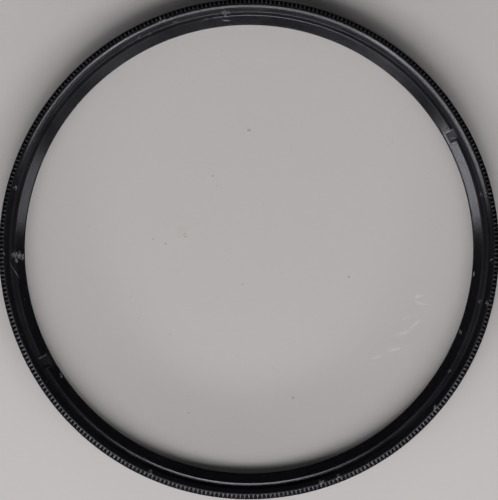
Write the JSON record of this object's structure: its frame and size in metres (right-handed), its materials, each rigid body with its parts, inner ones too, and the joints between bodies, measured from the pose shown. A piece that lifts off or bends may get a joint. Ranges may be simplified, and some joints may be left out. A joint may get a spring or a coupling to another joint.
{
  "type": "screw-in lens filter",
  "caption": "Clear round glass held by a slotted retaining ring in a thin black knurled metal frame, with a male thread behind and a female thread in front, to screw onto a camera lens",
  "frame": {"origin": "centre of the rear end face of the tail, which the filter rests on", "axes": "+Z is the optical axis, from the tail to the front of the filter; +X is the right of the picture and +Y its top"},
  "size_m": [0.0794, 0.0794, 0.007],
  "materials": {
    "black_anodised": "black anodised, satin, a little scuffed",
    "clear_glass": "polished, clear, with a ground edge"
  },
  "bodies": {
    "root": {"filter_ring": "black_anodised", "glass_disc": "clear_glass", "retaining_ring": "black_anodised"}
  },
  "joints": []
}
